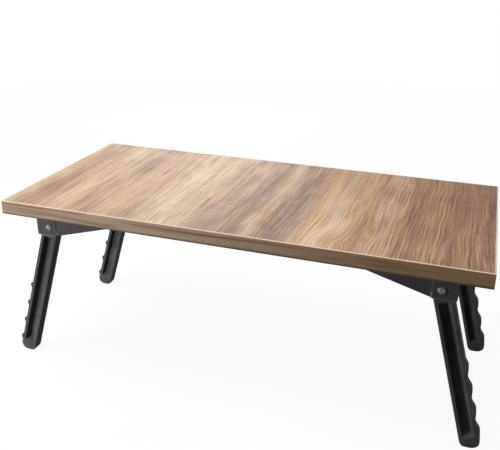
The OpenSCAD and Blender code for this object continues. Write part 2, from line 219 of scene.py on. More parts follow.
class BracketSettings(PropertyGroup):
    """Sizes and finish of a moulded bracket"""

    plate: length("Plate", "Thickness of the plate under the board", 3.0)
    cheek: length("Cheek", "Thickness of a cheek", 2.2)
    side_play: length("Side Play", "Gap between the leg and each cheek", 0.3)
    pad: length("Pad", "Height of the pad round the pivot", 1.2)
    pad_ramp: length("Pad Ramp", "Length of the slope at the inner end of the pad", 2.0)
    nose_reach: length("Nose Reach", "Pivot to the outer end, at the board", 19.0)
    nose_lean: length("Nose Lean", "How far the outer end leans in", 1.2)
    nose_wall: length("Nose Wall", "Thickness of the outer end", 2.6)
    nose_rounding: length("Nose Rounding", "Radius of the outer lower corner", 2.0)
    belly_drop: length("Belly Drop", "Pivot down to the flat lower edge", 11.5)
    belly_reach: length("Belly Reach", "Pivot to the start of the wedge", 9.5)
    wedge_reach: length("Wedge Reach", "Pivot to the tip of the wedge", 118.0)
    tip_rounding: length("Tip Rounding", "Corners of the plate at the tip", 5.0)
    lip_height: length("Lip Height", "Height of the lip along the pad", 1.6)
    lip_proud: length("Lip Proud", "How far the lip stands out", 0.6)
    edge_rounding: length("Edge Rounding", "Rounding of the moulded edges", 0.5)
    rib: length("Rib", "Thickness of the ribs and gussets", 1.6)
    stop_play: length("Stop Play", "Gap between the open leg and the stop ribs", 0.05)
    lug_radius: length("Lug Radius", "Radius of a screw lug", 6.5)
    lug_reach: length("Lug Reach", "Side of the pad to the screw in a lug", 5.5)
    lug_place: length("Lug Place", "Pivot to the screw in a lug", 5.0)
    gusset_height: length("Gusset Height", "Height of the gussets", 5.0)
    floor_screw_first: length("First Screw", "Pivot to the first screw in the floor", 45.0)
    floor_screw_gap: length("Screw Gap", "One floor screw to the next", 50.0)
    plastic: colour("Plastic", "Black plastic of the brackets", rgb(76, 73, 75))
    # The paler plastic of a bracket is a painted highlight along the lip and on the slope of the pad.
    rubbed: colour("Rubbed Plastic", "The same where it has been rubbed pale", rgb(136, 132, 132))
    scuff: colour("Scuffs", "Pale scuffs", rgb(112, 110, 110))
    roughness: portion("Roughness", "Roughness of the moulded surface", 0.48)
    gloss: portion("Gloss", "Specular level of the moulded surface", 0.04)


class FastenerSettings(PropertyGroup):
    """Sizes and finish of the rivets and the screws"""

    rivet_radius: length("Rivet Radius", "Radius of the shank", 2.5)
    rivet_head_radius: length("Head Radius", "Radius of the domed head", 4.5)
    rivet_head_height: length("Head Height", "Height of the domed head", 2.0)
    rivet_tail_radius: length("Tail Radius", "Radius of the rolled tail", 4.0)
    rivet_tail_height: length("Tail Height", "Height of the rolled tail", 1.3)
    rivet_play: length("Rivet Play", "Gap between a rivet and its bracket", 0.05)
    screw_radius: length("Screw Radius", "Radius over the thread", 1.75)
    screw_length: length("Screw Length", "Length under the head", 13.0)
    screw_head_radius: length("Screw Head Radius", "Radius of the pan head", 3.6)
    screw_head_height: length("Screw Head Height", "Height of the pan head", 2.2)
    screw_play: length("Screw Play", "Gap between a screw and its bracket", 0.4)
    thread_pitch: length("Thread Pitch", "One turn of the thread to the next", 1.4)
    steel: colour("Steel", "Plated steel", rgb(118, 117, 115))
    grime: colour("Grime", "Grime in the pits of the plating", rgb(92, 88, 84))
    roughness: portion("Roughness", "Roughness of the plating", 0.7)


class StudioSettings(PropertyGroup):
    """Camera, floor and lamps"""

    lens: number("Lens", "Focal length of the camera in mm, on a 36 mm sensor", 52.39, 1.0, 500.0)
    camera_turn: angle("Camera Turn", "Turn of the camera from the Y axis towards X", -20.42)
    camera_drop: angle("Camera Drop", "How far the camera looks down", 20.22)
    camera_roll: angle("Camera Roll", "Roll of the camera about its line of sight", 0.434)
    floor: colour("Floor", "Colour of the floor as it is seen", rgb(244, 244, 244))
    bounce: colour("Bounce", "Colour of the floor to the light that it throws back", rgb(96, 96, 96))
    white: portion("White", "Share of even white in the floor near the table", 0.93)
    daylight: portion("Daylight", "Strength of the light from all round", 0.05, 2.0)
    top: power("Top Lamp", "Power of the large soft lamp above", 40.0)
    key: power("Key Lamp", "Power of the lamp at the left", 9.4)
    back: power("Back Lamp", "Power of the faint lamp behind the table", 7.0)
    side: power("Side Lamp", "Power of the faint lamp at the right", 10.0)


def in_millimetres(group):
    """The values of a group of settings, with its lengths turned into millimetres."""
    values = {}
    for name, field in group.__annotations__.items():
        value = getattr(group, name)
        values[name] = value / MM if field.keywords.get("unit") == "LENGTH" else value
    return SimpleNamespace(**values)


SETTINGS = {
    "lap_board": BoardSettings,
    "lap_leg": LegSettings,
    "lap_bracket": BracketSettings,
    "lap_fastener": FastenerSettings,
    "lap_studio": StudioSettings,
}


# ---- Outlines ----


# Sides of a bore and of a rivet, and of a screw's hole.
ROUND_SIDES, HOLE_SIDES = 48, 32


def arc(centre, radius, start, end, steps):
    """Points of an arc: the centre plus the radius times (cosine, sine) of even angles, in degrees."""
    turn = np.radians(np.linspace(start, end, steps + 1))
    return np.asarray(centre) + np.asarray(radius) * np.column_stack([np.cos(turn), np.sin(turn)])


def mitres(outline):
    """Inward move of each point for an inset of one: the sum of the normals of its two edges, divided
    by one plus their dot product. The outline is closed and runs anticlockwise."""
    ahead = np.roll(outline, -1, 0) - outline
    ahead /= np.linalg.norm(ahead, axis=1, keepdims=True)
    normal = np.column_stack([-ahead[:, 1], ahead[:, 0]])
    behind = np.roll(normal, 1, 0)
    return (normal + behind) / (1 + (normal * behind).sum(1, keepdims=True))


def quarter(radius, steps):
    """Inset and depth along a quarter round, from a face to a side: r (1 - sin a) and r (1 - cos a)."""
    turn = np.radians(np.linspace(0, 90, steps + 1))
    return radius * (1 - np.sin(turn)), radius * (1 - np.cos(turn))


def rounded_corner(before, corner, after, reach, steps):
    """Quadratic curve that cuts a corner off: it leaves and joins the two lines at a reach from it."""
    before, corner, after = (np.asarray(p, float) for p in (before, corner, after))
    start = corner + reach * (before - corner) / np.linalg.norm(before - corner)
    end = corner + reach * (after - corner) / np.linalg.norm(after - corner)
    t = np.linspace(0, 1, steps + 1)[:, None]
    return (1 - t) ** 2 * start + 2 * t * (1 - t) * corner + t**2 * end


def slab(outline, low, high, rounding, steps=3):
    """Rings of a plate with the given outline between two levels. Each rim is a quarter round: the
    outline is inset by r (1 - sin a) at a depth of r (1 - cos a)."""
    inset, depth = quarter(rounding, steps)
    insets = np.concatenate([inset, inset[::-1]])
    levels = np.concatenate([low + depth, high - depth[::-1]])
    flat = outline[None] + insets[:, None, None] * mitres(outline)[None]
    return np.concatenate([flat, np.broadcast_to(levels[:, None, None], flat.shape[:2] + (1,))], -1)


def rectangle(low, high):
    """Outline of a rectangle from its lowest to its highest corner, anticlockwise."""
    return np.array([[low[0], low[1]], [high[0], low[1]], [high[0], high[1]], [low[0], high[1]]], float)


def revolve(profile, sides):
    """Rings about Z: each profile point (radius, height) becomes radius times (cos a, sin a), height."""
    turn = np.linspace(0, 2 * np.pi, sides, endpoint=False)
    radius, height = np.hsplit(np.asarray(profile, float), 2)
    return np.stack([radius * np.cos(turn), radius * np.sin(turn), height + 0 * turn], -1)


# ---- Meshes ----


def turn_outwards(mesh):
    """Flips all faces if the volume, a sixth of the sum of a . (b x c) over the triangles, is negative."""
    mesh.calc_loop_triangles()
    corners = np.empty(len(mesh.loop_triangles) * 3, np.int32)
    mesh.loop_triangles.foreach_get("vertices", corners)
    a, b, c = vertices(mesh)[corners.reshape(-1, 3)].transpose(1, 0, 2)
    if np.einsum("ij,ij->", a, np.cross(b, c)) < 0:
        mesh.flip_normals()
    return mesh


def vertices(mesh):
    """Places of the vertices of a mesh, in metres."""
    points = np.empty(len(mesh.vertices) * 3, np.float32)
    mesh.vertices.foreach_get("co", points)
    return points.reshape(-1, 3).astype(float)


def move_vertices(mesh, points):
    """Puts the vertices of a mesh at points in metres."""
    mesh.vertices.foreach_set("co", points.astype(np.float32).ravel())
    mesh.update()


def closed_mesh(name, rings, order=(0, 1, 2)):
    """Skin over a stack of rings, with a flat face on each end. A side face joins point j of ring i to
    points j and j + 1 of ring i + 1. The order says which column of a ring is X, Y and Z."""
    index = np.arange(rings.shape[0] * rings.shape[1]).reshape(rings.shape[:2])
    ahead = np.roll(index, -1, 1)
    sides = np.stack([index[:-1], ahead[:-1], ahead[1:], index[1:]], -1).reshape(-1, 4)
    faces = sides.tolist() + [index[0, ::-1].tolist(), index[-1].tolist()]
    mesh = bpy.data.meshes.new(name)
    mesh.from_pydata((rings[..., list(order)].reshape(-1, 3) * MM).tolist(), [], faces)
    mesh.update()
    return turn_outwards(mesh)


# Which column of a ring is X, Y and Z, for an outline seen from above, from the front or from an end.
TOP_VIEW, SIDE_VIEW, END_VIEW = (0, 1, 2), (0, 2, 1), (2, 0, 1)


def prism(name, view, outline, low, high, rounding, steps=3):
    """Solid of an outline carried between two levels, with its rims rounded."""
    return closed_mesh(name, slab(outline, low, high, rounding, steps), view)


def new_object(name, data):
    """Adds an object that shows a mesh, a lamp or a camera."""
    made = bpy.data.objects.new(name, data)
    bpy.context.scene.collection.objects.link(made)
    return made


def carve(name, base, steps):
    """Joins solids to a base or cuts them out of it, in order. A step is an operation and a mesh."""
    body = new_object(name, base)
    tools = []
    for operation, mesh in steps:
        tool = new_object(name + "_tool", mesh)
        tools.append(tool)
        cut = body.modifiers.new("carve", "BOOLEAN")
        cut.operation = operation
        cut.solver = "MANIFOLD"
        cut.object = tool
    bpy.context.view_layer.update()
    graph = bpy.context.evaluated_depsgraph_get()
    result = bpy.data.meshes.new_from_object(body.evaluated_get(graph))
    for used in [body, *tools]:
        bpy.data.objects.remove(used)
    if len(result.polygons) == 0:
        raise RuntimeError(f"{name}: the solids did not join")
    return result


def placed(name, base, corner):
    """A copy of a mesh drawn about the pivot, moved to one corner of the board. Its X points to the
    near end and its Y away from the near long edge, so it's mirrored where those run the other way."""
    end, row = CORNERS[corner]
    mesh = base.copy()
    mesh.name = name
    move_vertices(mesh, vertices(mesh) * [end, -row, 1] + PIVOT[corner] * MM)
    return turn_outwards(mesh)


SHARP_EDGE = math.radians(32)


def piece(name, mesh, material, body, nodes):
    """Makes an object of the mesh, smooth but for its sharp edges, on a body of the frame."""
    mesh.name = name
    mesh.shade_smooth()
    mesh.set_sharp_from_angle(angle=SHARP_EDGE)
    made = new_object(name, mesh)
    weighted = made.modifiers.new("flat_faces_first", "WEIGHTED_NORMAL")
    weighted.keep_sharp = True
    made.data.materials.clear()
    made.data.materials.append(material)
    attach(made, body)
    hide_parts(*nodes)
    return made


# ---- Board ----


def band_rings(board, long_side, thickness, height):
    """Section of an edge band, flat at its back and rounded by a quarter circle at its two outer
    edges, carried along a straight line with its ends turned round."""
    rounding = board.band_rounding
    section = np.concatenate([
        [[0, 0]],
        arc([thickness - rounding, rounding], rounding, -90, 0, 5),
        arc([thickness - rounding, height - rounding], rounding, 0, 90, 5),
        [[0, height]],
    ])
    return slab(section, -long_side / 2, long_side / 2, board.band_end_rounding, 2)


# ---- Leg ----


def nub_rise(leg, along):
    """Height above the edge of a left leg at a distance from its pivot: one cosine-squared crest a grip."""
    nearest = np.clip(np.round((along - leg.nub_start) / leg.nub_pitch), 0, leg.grips - 1)
    off = (along - leg.nub_start - nearest * leg.nub_pitch) / leg.nub_length
    return np.where(np.abs(off) < 0.5, leg.nub_height * np.cos(np.pi * off) ** 2, 0)


def wave_rise(leg, along):
    """The same for a right leg: a cosine-squared wave from notch to notch, steeper above its crest.
    The edge is straight above the first wave and stays at the notch's depth below the last."""
    passed = np.floor((along - leg.wave_start + leg.wave_climb) / leg.wave_pitch)
    off = along - leg.wave_start - np.clip(passed, 0, leg.grips - 1) * leg.wave_pitch
    fall = leg.wave_pitch - leg.wave_climb
    turn = np.clip(np.where(off < 0, off / leg.wave_climb, off / fall), -1, 1)
    rise = (leg.wave_height + leg.notch) * np.cos(np.pi / 2 * turn) ** 2 - leg.notch
    return np.where((passed < 1) & (off < 0), np.maximum(rise, 0), rise)


# Points along the inner edge of a leg, round each of its ends and along its outer edge.
SIDE_STEPS, END_STEPS, EDGE_STEPS = 64, 48, 240
# From the curve of a trough to its innermost ring, and half the width of the parting line at its
# foot and at its top.
FLOOR_RING, PARTING_FOOT, PARTING_TOP = 0.3, 0.35, 0.2
# How far the cutter of the bore stands out of a face, and where its funnel starts and ends below it.
BORE_PAST, FUNNEL_START, FUNNEL_END = 1.0, 0.05, 0.5
# The most that a corner of a trough takes of half its width, how far outside its rim a point still
# counts as in it, and how much of the pale, painted-lit colour its floor takes; the rest is painted shade.
CORNER_SHARE, RIM_MARGIN, FLOOR_PAINTED_LIGHT = 0.9, 0.1, 0.45


def leg_outline(leg, rise_at):
    """Side view of a hanging leg in X and Z: inner edge, foot, outer edge with its grips and the half
    circle over the pivot, anticlockwise. The foot is a superellipse, where x and z are the cosine and
    the sine to the power of two over the squareness, and its outer half is as wide as the edge above."""
    half = leg.width / 2
    down = np.linspace(0, -leg.reach, SIDE_STEPS, endpoint=False)
    inner = np.column_stack([np.full(SIDE_STEPS, -half), down])
    turn = np.linspace(np.pi, 2 * np.pi, END_STEPS, endpoint=False)
    bent = 2 / leg.foot_squareness
    cosine, sine = (np.sign(v) * np.abs(v) ** bent for v in (np.cos(turn), np.sin(turn)))
    toe = half + float(rise_at(leg, np.array(leg.reach)))
    foot = np.column_stack([np.where(cosine < 0, half, toe) * cosine, -leg.reach + half * sine])
    along = np.linspace(leg.reach, 0, EDGE_STEPS, endpoint=False)
    outer = np.column_stack([half + rise_at(leg, along), -along])
    top = arc([0, 0], half, 0, 180, END_STEPS)[:-1]
    return np.concatenate([inner, foot, outer, top])


def trough_outline(leg, lean):
    """Outline of the trough where its walls have leaned in by a distance, point for point with the
    outline of the leg. It's a rectangle with round corners. The foot end leans more, as a ramp."""
    clear = leg.width / 2 - leg.rim - lean
    corner = min(leg.trough_corner, CORNER_SHARE * clear)
    half = clear - corner
    upper = -leg.trough_start - corner - lean
    inside = np.clip(lean, 0, leg.trough_lean)
    lower = leg.trough_stop + corner - leg.reach + lean + inside * (leg.trough_ramp / leg.trough_lean - 1)
    third = END_STEPS // 3
    flat = np.linspace(-half, half, third, endpoint=False)[:, None]
    side = np.linspace(upper, lower, SIDE_STEPS, endpoint=False)
    back = np.linspace(lower, upper, EDGE_STEPS, endpoint=False)
    return np.concatenate([
        np.column_stack([np.full(SIDE_STEPS, -half - corner), side]),
        arc([-half, lower], corner, 180, 270, third)[:-1],
        np.hstack([flat, np.full_like(flat, lower - corner)]),
        arc([half, lower], corner, 270, 360, third)[:-1],
        np.column_stack([np.full(EDGE_STEPS, half + corner), back]),
        arc([half, upper], corner, 0, 90, third)[:-1],
        np.hstack([-flat, np.full_like(flat, upper + corner)]),
        arc([-half, upper], corner, 90, 180, third)[:-1],
    ])


def leg_rings(leg, rise_at):
    """Rings from the floor of the front trough, up its wall and over the rim, round the outer edge
    to the parting line, and the same back to the floor of the rear trough."""
    floor = [leg.trough_lean, leg.trough_depth]
    wall = np.concatenate([
        [[leg.trough_lean + leg.trough_scoop + FLOOR_RING, leg.trough_depth]],
        rounded_corner([floor[0] + 1, floor[1]], floor, [0, 0], leg.trough_scoop, 8),
        rounded_corner(floor, [0, 0], [-1, 0], leg.rim_rounding, 4),
    ])
    rings = [np.insert(trough_outline(leg, lean), 1, depth, axis=1) for lean, depth in wall]
    outline = leg_outline(leg, rise_at)
    inward = mitres(outline)
    inset, depth = quarter(leg.edge_rounding, 4)
    middle = leg.thickness / 2
    sides = np.concatenate([
        np.column_stack([inset + leg.draft, depth]),
        [[leg.parting, middle - PARTING_FOOT], [0, middle - PARTING_TOP], [0, middle]],
    ])
    rings += [np.insert(outline + inset * inward, 1, depth, axis=1) for inset, depth in sides]
    front = np.stack(rings)
    front[..., 1] -= middle
    rear = front[-2::-1] * [1, -1, 1]
    return np.concatenate([front, rear])


def leg_mesh(name, leg, fastener, rise_at):
    """The hanging leg with its bore, turned outwards by the splay and pressed flat where the foot
    would reach below the floor."""
    bore = fastener.rivet_radius + leg.bore_play
    mouth, half = bore + leg.bore_funnel, leg.thickness / 2
    end = [[mouth, half + BORE_PAST], [mouth, half - FUNNEL_START], [bore, half - FUNNEL_END]]
    profile = np.concatenate([np.array(end) * [1, -1], end[::-1]])
    cutter = closed_mesh("bore", revolve(profile, ROUND_SIDES), SIDE_VIEW)
    straight = carve(name, closed_mesh(name, leg_rings(leg, rise_at)), [("DIFFERENCE", cutter)])
    points = vertices(straight)
    cosine, sine = math.cos(leg.splay), math.sin(leg.splay)
    turned = points @ np.array([[cosine, 0, sine], [0, 1, 0], [-sine, 0, cosine]])
    turned[:, 2] = np.maximum(turned[:, 2], -PIVOT_HEIGHT * MM)
    move_vertices(straight, turned)
    # Share of painted light: the faces are painted lit, the sides and the trough floors painted shade.
    rubbed = straight.attributes.new("rubbed", "FLOAT", "POINT")
    rubbed.data.foreach_set("value", painted_light_share(leg, points / MM).astype(np.float32))
    return straight


def painted_light_share(leg, points):
    """How far each point of the hanging leg takes the pale colour, which is painted light: wholly on the
    two flat faces, less and less down the walls of a trough to nearly half on its floor, and not at all on
    the four sides. The darker colour left on the sides and on the trough floors is painted shade."""
    depth = leg.thickness / 2 - np.abs(points[:, 1])
    in_trough = np.abs(points[:, 0]) < leg.width / 2 - leg.rim + RIM_MARGIN
    below_rim = np.where(in_trough, depth / leg.trough_depth, depth / leg.edge_rounding)
    return np.clip(1 - below_rim**2, np.where(in_trough, FLOOR_PAINTED_LIGHT, 0), 1)


# ---- Bracket ----


# How far a solid runs on into the one it's joined to, the least such overlap, and how far a cutting
# solid reaches past what it cuts.
BURIED, SLACK, BEYOND = 1.0, 0.02, 5.0
PLATE_ROUNDING, CHANNEL_ROUNDING, LIP_ROUNDING, GUSSET_ROUNDING, RIB_ROUNDING = 0.4, 0.4, 0.3, 0.25, 0.2


def half_widths(b, leg):
    """Half the width of the channel, over the cheeks and over the pads."""
    return np.cumsum([leg.thickness / 2 + b.side_play, b.cheek, b.pad])


def screw_places(b, leg):
    """Places of the four screws of a bracket, along and across from the pivot."""
    across = half_widths(b, leg)[2] + b.lug_reach
    second = b.floor_screw_first + b.floor_screw_gap
    return [(b.lug_place, -across), (b.lug_place, across), (-b.floor_screw_first, 0), (-second, 0)]


def flipped(outline, x, y):
    """An outline with its two columns times plus or minus one, and still anticlockwise."""
    return (np.array(outline) * [x, y])[:: x * y]


def side_outlines(b, floor):
    """Side views of the nose block, whose inner end is the pad's slope, and of the whole wedge."""
    buried = PIVOT_DROP - BURIED
    foot = b.nose_reach - b.nose_lean
    round_low = arc([foot - b.nose_rounding, b.nose_rounding - b.belly_drop], b.nose_rounding, 0, -90, 6)
    nose = np.concatenate([[[b.nose_reach, buried]], round_low, [[-b.belly_reach, -b.belly_drop]]])
    ramp_end = -b.belly_reach - b.pad_ramp
    slope = (floor + b.belly_drop) / (b.wedge_reach - b.belly_reach)
    block = np.concatenate([nose, [[ramp_end, b.pad_ramp * slope - b.belly_drop], [ramp_end, buried]]])
    wedge = np.concatenate([nose, [[-b.wedge_reach, floor], [-b.wedge_reach, buried]]])
    return block[::-1], wedge[::-1]


def pad_slope_cuts(b, cheek, pad):
    """What is cut off beside the inner end of the two pads, to slope them down to their cheeks."""
    past = -b.belly_reach - b.pad_ramp - BURIED
    beside = [
        [-b.belly_reach, pad - SLACK], [-b.belly_reach, pad + 2 * BURIED],
        [past, pad + 2 * BURIED], [past, cheek - BURIED * b.pad / b.pad_ramp],
    ]
    for side in (-1, 1):
        low, high = -b.belly_drop - BEYOND, PIVOT_DROP - BURIED + BEYOND
        yield "DIFFERENCE", prism("ramp", TOP_VIEW, flipped(beside, 1, side), low, high, 0.0, 1)


def base_plate(b, pad, floor):
    """Plate under the board, with round corners at the tip of the wedge."""
    tip, outer, edge = b.tip_rounding, b.nose_reach + SLACK, pad + SLACK
    outline = np.concatenate([
        arc([tip - b.wedge_reach, pad - tip], tip, 90, 180, 10),
        arc([tip - b.wedge_reach, tip - pad], tip, 180, 270, 10),
        [[outer, -edge], [outer, edge]],
    ])
    return "UNION", prism("plate", TOP_VIEW, outline, floor, PIVOT_DROP, PLATE_ROUNDING)


def lugs_and_lips(b, cheek, pad, floor):
    """On either side a half round screw lug, a gusset at each end of it, and the lip along the pad."""
    across = pad + b.lug_reach
    deep = floor - b.gusset_height
    gusset = [
        [cheek - BURIED, floor + BURIED / 2], [cheek - BURIED, deep],
        [pad, deep], [across, floor], [across, floor + BURIED / 2],
    ]
    lip_end = b.nose_reach - b.nose_lean - b.nose_rounding
    for side in (-1, 1):
        lug = np.concatenate([
            arc([b.lug_place, side * across], side * b.lug_radius, 0, 180, 24),
            [[b.lug_place - side * b.lug_radius, 0], [b.lug_place + side * b.lug_radius, 0]],
        ])
        low, high = floor + SLACK / 2, PIVOT_DROP - SLACK / 2
        yield "UNION", prism("lug", TOP_VIEW, lug, low, high, PLATE_ROUNDING)
        for end in (-1, 1):
            middle = b.lug_place + end * (b.lug_radius - b.rib / 2)
            limits = (middle - b.rib / 2, middle + b.rib / 2)
            yield "UNION", prism("gusset", END_VIEW, flipped(gusset, side, 1), *limits, GUSSET_ROUNDING, 2)
        left, right = sorted((side * (pad + b.lip_proud), side * (pad - BURIED)))
        lip = rectangle([left, -b.belly_drop], [right, b.lip_height - b.belly_drop])
        yield "UNION", prism("lip", END_VIEW, lip, -b.belly_reach, lip_end, LIP_ROUNDING, 2)


def channel_and_ribs(b, leg, channel, floor):
    """The channel for the leg, and the three stop ribs in the nose. The ribs end on the line of the
    open leg's outer edge, which is half the leg's width over the cosine of the splay, less the
    height times its tangent."""
    inside = b.nose_reach - b.nose_lean - b.nose_wall
    hollow = rectangle([-b.wedge_reach - 2 * BEYOND, -b.belly_drop - 2 * BEYOND], [inside, floor])
    yield "DIFFERENCE", prism("channel", SIDE_VIEW, hollow, -channel, channel, CHANNEL_ROUNDING)

    foot = b.lip_height - b.belly_drop
    shoulder = leg.width / 2 * math.sin(leg.splay)
    at_foot, at_shoulder = (
        (leg.width / 2 + b.stop_play) / math.cos(leg.splay) - height * math.tan(leg.splay)
        for height in (foot, shoulder)
    )
    rib = np.array([
        [inside + BURIED, foot], [inside + BURIED, floor + BURIED],
        [at_shoulder, floor + BURIED], [at_shoulder, shoulder], [at_foot, foot],
    ])
    for row in (-1, 0, 1):
        middle = row * 2 * channel / 3
        yield "UNION", prism("rib", SIDE_VIEW, rib, middle - b.rib / 2, middle + b.rib / 2, RIB_ROUNDING, 2)


def bracket_mesh(b, leg, fastener):
    """Nose block, cheeks, plate, lugs, gussets and lips joined, the channel for the leg cut out of
    them, then the stop ribs joined and the holes cut."""
    channel, cheek, pad = half_widths(b, leg)
    floor = PIVOT_DROP - b.plate
    block, wedge = side_outlines(b, floor)
    radius = fastener.rivet_radius + fastener.rivet_play
    bore = revolve([[radius, -pad - BEYOND], [radius, pad + BEYOND]], ROUND_SIDES)
    steps = [
        *pad_slope_cuts(b, cheek, pad),
        ("UNION", prism("wedge", SIDE_VIEW, wedge, -cheek, cheek, b.edge_rounding)),
        base_plate(b, pad, floor),
        *lugs_and_lips(b, cheek, pad, floor),
        *channel_and_ribs(b, leg, channel, floor),
        ("DIFFERENCE", closed_mesh("bore", bore, SIDE_VIEW)),
    ]
    radius = fastener.screw_radius + fastener.screw_play
    hole = revolve([[radius, floor - BEYOND], [radius, PIVOT_DROP + BEYOND]], HOLE_SIDES)
    for along, sideways in screw_places(b, leg):
        steps.append(("DIFFERENCE", closed_mesh("hole", hole + [along, sideways, 0])))
    return carve("bracket", prism("bracket", SIDE_VIEW, block, -pad, pad, b.edge_rounding), steps)


# ---- Fasteners ----


# Radius and depth of the hollows in a rivet's head and in its tail, the inner radius of the rolled
# ring and the bevel below the head.
HEAD_HOLLOW = np.array([[0.02, 0.9], [0.7, 0.82], [1.2, 0.5], [1.45, 0.2]])
TAIL_HOLLOW = np.array([[1.2, 1.2], [0.02, 1.5]])
TAIL_EYE, RIVET_BEVEL = 1.4, 0.1
# First and last angle, and steps, of the arcs of a rivet's dome and of its rolled ring.
DOME_ARC, ROLL_ARC = (68, 6, 8), (-60, 200, 13)
# Pan head: the height of its edge, how round it is from above its edge, and the bevel below it.
HEAD_EDGE, HEAD_ROUNDNESS, HEAD_BEVEL = 0.3, 0.8, 0.15
# A screw's core and its neck as shares of its thread, the length of its point, the share left at
# the tip, how narrow the ridge is, and how far the thread stays from the head and the tip.
CORE_SHARE, NECK_SHARE, POINT_LENGTH, TIP_SHARE, RIDGE_SLOPE = 0.72, 0.75, 3.5, 0.08, 3.4
THREAD_START, THREAD_STOP, SCREW_SIDES, THREAD_RINGS = 0.2, 0.3, 28, 74
# Cross recess: half the width of an arm and its reach, at a height above the top of the head, and
# how much smaller it is at its floor, which lies at a height above the underside of the head.
CROSS_ARM, CROSS_REACH, CROSS_MOUTH, CROSS_TAPER, CROSS_FLOOR = 0.45, 2.1, 0.6, 0.55, 0.7
SCREW_TURNS = np.radians([12, 64, 33, 80])


def rivet_mesh(f, half_pad):
    """Profile carried round the axis: a domed head with a hollow, a plain shank, and a tail that is
    rolled over into a ring. The head lies towards -Y."""
    dome = arc([0, -half_pad], [f.rivet_head_radius, -f.rivet_head_height], *DOME_ARC)
    middle, half = (f.rivet_tail_radius + TAIL_EYE) / 2, f.rivet_tail_height / 2
    roll = arc([middle, half_pad + half], [f.rivet_tail_radius - middle, half], *ROLL_ARC)
    profile = np.concatenate([
        HEAD_HOLLOW + [0, -half_pad - f.rivet_head_height], dome,
        [[f.rivet_head_radius - RIVET_BEVEL, -half_pad]],
        [[f.rivet_radius, -half_pad], [f.rivet_radius, half_pad]],
        roll, [0, half_pad] + TAIL_HOLLOW * [1, -1],
    ])
    return closed_mesh("rivet", revolve(profile, ROUND_SIDES), SIDE_VIEW)


def screw_mesh(f):
    """Pan head, whose height is h cos a plus its edge's height times sin a, then a shank whose radius
    is the core plus a ridge that climbs by one pitch a turn, and a point. A cross is cut into the head."""
    lean = np.radians(np.linspace(4, 90, 8))
    dome = f.screw_head_height * np.cos(lean) + HEAD_EDGE * np.sin(lean)
    head = np.concatenate([
        np.column_stack([f.screw_head_radius * np.sin(lean) ** HEAD_ROUNDNESS, -dome]),
        [[f.screw_head_radius - HEAD_BEVEL, 0], [f.screw_radius * NECK_SHARE, 0]],
    ])
    turn = np.linspace(0, 2 * np.pi, SCREW_SIDES, endpoint=False)
    height = np.linspace(THREAD_START, f.screw_length - THREAD_STOP, THREAD_RINGS)[:, None]
    phase = height / f.thread_pitch - turn / (2 * np.pi)
    ridge = np.clip(1 - RIDGE_SLOPE * np.abs(phase - np.round(phase)), 0, 1)
    point = np.clip((f.screw_length - height) / POINT_LENGTH, TIP_SHARE, 1)
    radius = f.screw_radius * (CORE_SHARE + (1 - CORE_SHARE) * ridge) * point
    shank = np.stack([radius * np.cos(turn), radius * np.sin(turn), height + 0 * turn], -1)
    body = closed_mesh("screw", np.concatenate([revolve(head, SCREW_SIDES), shank]))

    arm = np.array([[CROSS_ARM, CROSS_REACH], [CROSS_ARM, CROSS_ARM], [CROSS_REACH, CROSS_ARM]])
    quarter_turn = np.array([[0, -1], [1, 0]])
    cross = np.concatenate([arm @ np.linalg.matrix_power(quarter_turn, k) for k in range(4)])[::-1]
    mouth = np.insert(cross, 2, -f.screw_head_height - CROSS_MOUTH, axis=1)
    floor = np.insert(cross * CROSS_TAPER, 2, -CROSS_FLOOR, axis=1)
    return carve("screw", body, [("DIFFERENCE", closed_mesh("recess", np.stack([mouth, floor])))])


def four_screws(b, leg, f):
    """The screws of one bracket as one mesh, each turned by its own angle about its axis."""
    single = screw_mesh(f)
    joined = bmesh.new()
    for turn, (along, across) in zip(SCREW_TURNS, screw_places(b, leg)):
        place = Vector((along, across, PIVOT_DROP - b.plate)) * MM
        screw = single.copy()
        screw.transform(Matrix.Translation(place) @ Matrix.Rotation(turn, 4, "Z"))
        joined.from_mesh(screw)
    whole = bpy.data.meshes.new("screws")
    joined.to_mesh(whole)
    joined.free()
    return whole


# ---- Shader nodes ----


def connect(made, inputs):
    """Gives a shader node its inputs: each key is a socket's name or number, and each value is a Value
    to link or a constant to set. A colour may leave out its fourth number."""
    for key, value in inputs.items():
        socket = made.inputs[key]
        if isinstance(value, Value):
            value.tree.links.new(value.socket, socket)
        else:
            socket.default_value = (*value[:3], 1.0) if socket.type == "RGBA" else value


def node(tree, kind, inputs, **settings):
    """Adds a shader node of a kind, with its inputs and its own settings."""
    made = tree.nodes.new(kind)
    for key, value in settings.items():
        setattr(made, key, value)
    connect(made, inputs)
    return made


class Value:
    """An output of a shader node, which is added, subtracted, multiplied and divided like a number."""

    def __init__(self, made, output=0):
        self.socket = made.outputs[output]
        self.tree = made.id_data

    def calc(self, operation, *others):
        """This value and the others, put through an operation of a Math node."""
        inputs = dict(enumerate((self, *others)))
        return Value(node(self.tree, "ShaderNodeMath", inputs, operation=operation))

    def __add__(self, other):
        return self.calc("ADD", other)

    def __sub__(self, other):
        return self.calc("SUBTRACT", other)

    def __mul__(self, other):
        return self.calc("MULTIPLY", other)

    def __truediv__(self, other):
        return self.calc("DIVIDE", other)


def noise(vector, scale, detail=2.0, roughness=0.5):
    """Noise texture over a vector, from zero to one."""
    inputs = {"Vector": vector, "Scale": scale, "Detail": detail, "Roughness": roughness}
    return Value(node(vector.tree, "ShaderNodeTexNoise", inputs), "Fac")


def stretched(values, stretch):
    """A vector of three values, each times its own stretch."""
    parts = [value * times for value, times in zip(values, stretch)]
    return Value(node(values[0].tree, "ShaderNodeCombineXYZ", dict(enumerate(parts))))


def streaks(values, stretch, detail=2.0, roughness=0.5):
    """Noise of three values that are stretched first: the greater the stretch, the finer the noise."""
    return noise(stretched(values, stretch), 1.0, detail, roughness)


